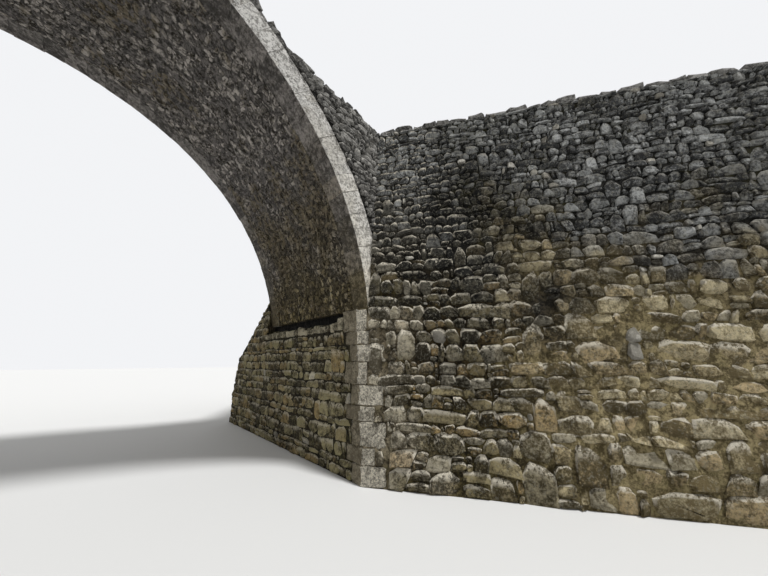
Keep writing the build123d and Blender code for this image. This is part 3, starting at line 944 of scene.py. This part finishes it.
# dressed rings: tapered stones from a level bed at each springing, over a bed of mortar
ring = {
    "stones": {"joint": 0.004 / radius, "lean": 0.0, "wobble": 0.005},  # their cells run by angle
    "widths": (0.31, 0.235, 0.35, 0.27, 0.215, 0.33, 0.255),
    "count": 51,
    "uneven": 0.009,
    "outerGap": 0.002,
    "bedGap": 0.0005,
    "underside": 0.012,
    "mortarBack": 0.003,
    "mortarShort": 0.002,
}
widths = np.resize(ring["widths"], ring["count"])
turns = np.concatenate([[0], np.cumsum(widths)]) / widths.sum() * (pi - 2 * startAngle) + startAngle
outerStart = asin(bridge["rise"] / bedRadius)
outerTurns = np.concatenate([[outerStart], turns[1:-1], [pi - outerStart]])


def isUnderside(face):
    return np.hypot(face.center.x, face.center.z - centre) < radius + ring["underside"]


for sideY, depth in ((-1, "near"), (1, "far")):
    rng = default_rng(600 + sideY)
    cells = []
    for a, b, outerA, outerB in zip(turns, turns[1:], outerTurns, outerTurns[1:]):
        inside, outside = radius - rng.uniform(0, ring["uneven"]), bedRadius - ring["outerGap"]
        cells.append([(a, inside), (b, inside), (outerB, outside), (outerA, outside)])

    def inRing(angle, r, h):
        y = (halfWidth - bridge["bond"] + h) * sideY
        z = np.maximum(centre + r * np.sin(angle), springing + ring["bedGap"])
        return np.stack([r * np.cos(angle), y, z], -1)

    high = bridge["bond"] + rng.uniform(0, ring["uneven"], ring["count"])
    laid = layStones("dressed", cells, inRing, ring["stones"], 610 + sideY, ring["bedGap"], high)
    stones = buildWall(f"{depth}_ring_stones", [laid], ringStone, [f"{depth}_arch_ring"], angle=35)
    paintFaces(stones, ringUnder, isUnderside)

    deselectAll()
    back, short = ring["mortarBack"], ring["mortarShort"]
    bpy.ops.mesh.primitive_plane_add(size=1, location=(0, 0, 0))
    mortar = bpy.context.object
    mortar.name = f"{depth}_ring_mortar"
    bpy.ops.object.mode_set(mode="EDIT")
    bpy.ops.mesh.select_all(action="SELECT")
    bpy.ops.transform.resize(value=(bridge["ring"] - 2 * back, bridge["bond"] - back, 1))
    bpy.ops.transform.translate(value=(
        radius + bridge["ring"] / 2, sideY * (halfWidth - bridge["bond"] / 2 - back / 2), centre))
    bpy.ops.transform.rotate(value=startAngle + short, orient_axis="Y", center_override=(0, 0, centre))
    bpy.ops.mesh.spin(steps=90, angle=pi - 2 * startAngle - 2 * short, center=(0, 0, centre), axis=(0, 1, 0))
    bpy.ops.mesh.select_all(action="SELECT")
    bpy.ops.mesh.normals_make_consistent(inside=False)
    bpy.ops.object.mode_set(mode="OBJECT")
    finishPiece(mortar, jointMortar)
    paintFaces(mortar, ringUnder, isUnderside)
print("rings dressed")


# abutments: the river faces, the ledge and slot that the arch springs from, and the corner stones
abutment = {
    "courses": {"course": 0.155, "long": 0.22, "split": 0.1, "pins": 0.04, "big": 0.03},
    "jostle": (0.03, 0.003, (0.98, 1.06)),
    "start": -1.9,
    "leastReach": 0.05,
    "cornerGap": 0.048,
    "roundShare": 0.35,
    "face": {"joint": 0.014, "embed": 0.035, "proud": 0.032, "uneven": 0.55, "lean": 0.4, "wobble": 0.035},
    "mortar": {"step": 0.08, "rise": 0.004, "swell": 0.005},
    "mortarStart": -1.45,
    "ledge": {"joint": 0.006, "lean": 0.3, "wobble": 0.04},
    "ledgeRow": {"long": (0.09, 0.19), "least": 0, "overlap": 0, "stop": 0.05},
    "ledgeProud": (0.022, 0.05),
    "ledgeLevel": (-0.02, 0.03),
    "ledgeSlack": 0.008,
    "ledgeDeep": 0.2,
    "ledgeHigh": 0.13,
    "cornerLift": 0.065,
    "liftFrom": -1.0,
    "liftEase": 0.4,
    "slot": {"joint": 0.012, "embed": 0.02, "proud": 0.015, "uneven": 0.9, "course": 0.09, "long": 0.15},
    "slotStart": -1.28,
    "quoin": {"joint": 0.002, "lean": 0.0, "wobble": 0.018},
    "quoinProud": 0.02,
    "quoinDeep": 0.27,
    "quoinGap": (0.004, 0.02),
    "quoinSlack": 0.004,
    "quoinBed": 0.001,
    "openJoint": 0.018,
}
faceTurn = np.array([-1.0, 0.0]) + wingOut[:2]
faceTurn = faceTurn / (1 - wingOut[0])  # a step of one out of both faces of the corner


def cornerLine(z):
    return -halfWidth - (wingOut[0] * -bridge["ledge"] + batter * (z - springing)) / wingOut[1]


def onRiverFace(z):
    return cornerLine(z) + quoinLeg("quoinRiverLegs", z)


def belowLedge(y, z):
    return ((y < halfWidth) & (z < quoinLevels[-2])) | ((y > halfWidth) & (z < toeTop(y - halfWidth) - toeGap))


for sideX, across in acrossSides:
    rng = default_rng(700 + sideX)
    name = f"{across}_abutment"
    face = crossFace(sideX, riverFace, -1)

    def levelTop(x, y, z):
        return np.stack([x * sideX, y, z], -1)

    area = (abutment["start"], toeEnd, 0.0, toeProfile[0][1])
    cells = rubbleCells(rng, area, abutment["courses"], belowLedge, quoinLevels[1:-1])
    cells, start = pastStart(cells, onRiverFace, abutment["leastReach"])
    cells = jostle(rng, cells, *abutment["jostle"])
    y = np.minimum(meetCorner(cells[..., 0], start, abutment["cornerGap"]), toeEnd)
    inSpan = cells.mean(1)[:, :1] < halfWidth
    limit = np.where(inSpan, ledgeTop - 0.12, toeTop(np.maximum(y - halfWidth, 0)))
    cells = np.stack([y, np.minimum(np.maximum(cells[..., 1], 0), limit)], -1)
    rounded = rng.random(len(cells)) < abutment["roundShare"]
    buildWall(f"{name}_rubble", [
        layStones("round", cells[rounded], face, abutment["face"], 710 + sideX),
        layStones("bedded", cells[~rounded], face, abutment["face"], 715 + sideX),
    ], abutmentStone)

    ledgeCells, top = [], []
    rear = riverFace + abutment["ledgeDeep"]
    for y, wide in rowOf(rng, onRiverFace(ledgeTop - 0.05) + 0.01, halfWidth, abutment["ledgeRow"]):
        lip = riverFace - rng.uniform(*abutment["ledgeProud"], 2)
        ledgeCells.append([(lip[0], y), (rear, y), (rear, y + wide), (lip[1], y + wide)])
        lift = np.clip((abutment["liftFrom"] - y) / abutment["liftEase"], 0, 1)
        top.append(ledgeTop + rng.uniform(*abutment["ledgeLevel"]) + abutment["cornerLift"] * lift)
    low = ledgeTop - abutment["ledgeHigh"] + rng.normal(0, abutment["ledgeSlack"], len(ledgeCells))
    laid = layStones("rugged", ledgeCells, levelTop, abutment["ledge"], 720 + sideX, low=low, high=top)
    buildWall(f"{name}_ledge_stones", [laid], ledgeStone)
    area = (abutment["mortarStart"], halfWidth, 0.0, ledgeTop - 0.1)
    pointing = spreadMortar(face, area, abutment["mortar"], 725 + sideX, begin=onRiverFace)
    buildWall(f"{name}_pointing", [pointing], brownMortar)
    # the slot's stones take the near-black finish: painted shade in the recess between the ledge and the arch's
    # springing
    area = (abutment["slotStart"], halfWidth, ledgeTop, springing)
    laid = plainWall(rng, area, crossFace(sideX, halfSpan + bridge["recess"], -1), abutment["slot"], 730 + sideX)
    buildWall(f"{name}_slot_stones", [laid], darkMortarAndShade)

    quoinCells = []
    for z in (quoinLevels[:-1] + quoinLevels[1:]) / 2:
        proud = abutment["quoinProud"] * rng.uniform(0.45, 1)
        corner = np.array([riverFace, cornerLine(z)])
        wingLeg = quoinLeg("quoinWingLegs", z) - rng.uniform(*abutment["quoinGap"])
        riverLeg = quoinLeg("quoinRiverLegs", z) - rng.uniform(*abutment["quoinGap"])
        wingSide = corner + wingRun[:2] * wingLeg + wingOut[:2] * proud
        heart = corner + np.array([abutment["quoinDeep"], max(riverLeg * 0.4, 0.04)])
        quoinCells.append([corner + faceTurn * proud, wingSide, heart, corner + np.array([-proud, riverLeg])])
    slack = rng.normal(0, abutment["quoinSlack"], len(quoinCells) - 1)
    low, top = quoinLevels[:-1] - abutment["quoinBed"], quoinLevels[1:] - abutment["quoinBed"]
    low[1:] += slack
    top[:-1] += slack
    low[0] = 0.0
    top[-1] -= abutment["openJoint"]
    laid = layStones("corner", quoinCells, levelTop, abutment["quoin"], 740 + sideX, low=low, high=top)
    quoins = buildWall(f"{across}_near_quoin_stones", [laid], quoinStone, angle=28)
    paintFaces(quoins, quoinShade, lambda f: f.normal.x * sideX < -0.5 and f.normal.y > -0.3)
print("abutments laid")


# toes on the far side: their sloping tops and outer ends
toe = {"course": 0.17, "long": 0.2, "deep": 1.5}
profile = np.array([(halfWidth + reach, z) for reach, z in toeProfile] + [(toeEnd, 0.0)])
steps = np.concatenate([[0], np.cumsum(np.linalg.norm(np.diff(profile, axis=0), axis=1))])


def onProfile(s):
    return [np.interp(s, steps, profile[:, n]) for n in (0, 1)]


def underWing(s, x):
    return x < riverFace + (onProfile(s)[0] - halfWidth) * -wingRun[0] / wingRun[1] + 0.1


for sideX, across in acrossSides:
    def toeCrest(s, x, h):
        (y, z), (nextY, nextZ) = onProfile(s), onProfile(s + 0.02)
        size = np.maximum(np.hypot(nextY - y, nextZ - z), 1e-6)
        return np.stack([x * sideX, y - (nextZ - z) / size * h, z + (nextY - y) / size * h], -1)

    rng = default_rng(800 + sideX)
    cells = rubbleCells(rng, (0.0, steps[-1] - 0.01, riverFace - 0.02, riverFace + toe["deep"]), toe, underWing)
    buildWall(f"{across}_far_toe_stones", [layStones("round", cells, toeCrest, abutment["face"], 810 + sideX)],
              abutmentStone)
print("toes laid")


# deck: cobbles between rough edge stones
deck = {
    "cobbles": {"joint": 0.014, "embed": 0.03, "proud": 0.016, "uneven": 0.7, "lean": 0.2, "course": 0.19,
                "long": 0.26},
    "kerb": {"joint": 0.01, "lean": 0.12, "wobble": 0.035},
    "kerbRow": {"long": (0.09, 0.25), "least": 0.1, "overlap": 0.015, "stop": 0.02},
    "kerbSkew": 0.014,
    "kerbEdge": (-0.03, 0.01),
    "kerbBack": (-0.03, 0.03),
    "kerbRise": (0.55, 1.0),
    "kerbSunk": 0.006,
    "doubled": 0.45,
    "doubledSplit": (0.35, 0.55),
    "doubledRise": (0.65, 1.0),
}
rng = default_rng(900)
inner = halfWidth - bridge["kerbWide"]
cobbles = plainWall(rng, (-deckLong, deckLong, -inner, inner), lambda s, y, h: deckLine(s, y, h + bridge["paving"]),
                    deck["cobbles"], 901)
buildWall("deck_cobbles", [cobbles], pavingStone)
for sideY, depth in ((-1, "near"), (1, "far")):
    rng = default_rng(910 + sideY)
    cells, low, top = [], [], []
    for s, wide in rowOf(rng, -deckLong, deckLong, deck["kerbRow"]):
        skew = rng.normal(0, deck["kerbSkew"], 4)
        edge = (halfWidth + rng.uniform(*deck["kerbEdge"])) * sideY
        back = (inner + rng.uniform(*deck["kerbBack"])) * sideY
        cell = [(s, edge + skew[0]), (s + wide, edge + skew[1]), (s + wide, back + skew[2]), (s, back + skew[3])]
        if rng.random() < deck["doubled"]:  # two thin stones, one on the other
            mid = bridge["kerbHigh"] * rng.uniform(*deck["doubledSplit"])
            cells += [cell, cell]
            low += [-deck["kerbSunk"], mid]
            top += [mid, bridge["kerbHigh"] * rng.uniform(*deck["doubledRise"])]
        else:
            cells.append(cell)
            low.append(-deck["kerbSunk"])
            top.append(bridge["kerbHigh"] * rng.uniform(*deck["kerbRise"]))
    laid = layStones("rugged", cells, deckLine, deck["kerb"], 920 + sideY, low=low, high=top)
    buildWall(f"{depth}_kerb_stones", [laid], spandrelStone,
              [f"{depth}_crown_kerb", f"left_{depth}_ramp_kerb", f"right_{depth}_ramp_kerb"])
print("deck laid")


# finishes of the masonry behind the stones
finishes = {
    "arch_barrel": washMortar, "abutment": brownMortar, "impost": brownMortar, "springer": darkMortarAndShade,
    "toe": brownMortar, "spandrel": darkMortarAndShade, "core": darkMortarAndShade, "paving": brownMortar,
    "quoins": wingMortar, "wing": wingMortar,
}
for nodeName, node in frame["nodes"].items():
    for word, material in finishes.items():
        if word in nodeName:
            node.data.materials.clear()
            node.data.materials.append(material)
print("triangles in all:", sum(triangles), "most in one piece:", max(triangles))


# stage, light and camera
stage = {
    "floor": (0.72, 0.72, 0.71), "backdrop": (0.97, 0.98, 1), "sky": 0.92, "fill": 0.52, "key": 2.7, "keySpread": 9,
    "keyWay": (-0.1, 0.45, -0.88), "focal": 301.3, "cameraAt": (0.4546, -1.0084, -0.017), "tilt": 13.59,
    "turn": -41.98,
}
deselectAll()
bpy.ops.mesh.primitive_plane_add(size=160, location=(0, 0, 0))
floor = bpy.context.object
floor.name = "floor"
plain = bpy.data.materials.new("floorPaint")
plain.use_nodes = True
paint = plain.node_tree.nodes["Principled BSDF"]
paint.inputs["Base Color"].default_value = (*stage["floor"], 1)
paint.inputs["Roughness"].default_value = 0.9
floor.data.materials.append(plain)

world = bpy.data.worlds.new("studio")
bpy.context.scene.world = world
world.use_nodes = True
sky = world.node_tree
sky.nodes.clear()
path = addNode(sky, "ShaderNodeLightPath").outputs
seen = sums(sky, "MAXIMUM", path["Is Camera Ray"], path["Is Glossy Ray"])
seen = sums(sky, "MAXIMUM", seen, path["Is Transmission Ray"])
light = addNode(sky, "ShaderNodeBackground", {"Color": (1, 1, 1), "Strength": stage["fill"]}).outputs[0]
shown = addNode(sky, "ShaderNodeBackground", {"Color": stage["backdrop"], "Strength": stage["sky"]}).outputs[0]
blend = addNode(sky, "ShaderNodeMixShader", {0: seen, 1: light, 2: shown}).outputs[0]
addNode(sky, "ShaderNodeOutputWorld", {0: blend})

deselectAll()
bpy.ops.object.light_add(type="SUN", location=(0, -20, 20))
key = bpy.context.object
key.name = "keyLight"
key.data.energy = stage["key"]
key.data.angle = radians(stage["keySpread"])
key.rotation_euler = Vector(stage["keyWay"]).to_track_quat("-Z", "Y").to_euler()

bpy.context.scene.view_settings.view_transform = "Standard"
lens = bpy.data.cameras.new("camera")
lens.sensor_width = 36
lens.lens = 36 * stage["focal"] / 768  # the focal length is in pixels of the photo's width
lens.clip_end = 300
camera = bpy.data.objects.new("camera", lens)
bpy.context.scene.collection.objects.link(camera)
camera.location = Vector(stage["cameraAt"]) * radius + Vector((0, 0, centre))
camera.rotation_euler = (radians(90 + stage["tilt"]), 0, radians(stage["turn"]))
bpy.context.scene.camera = camera
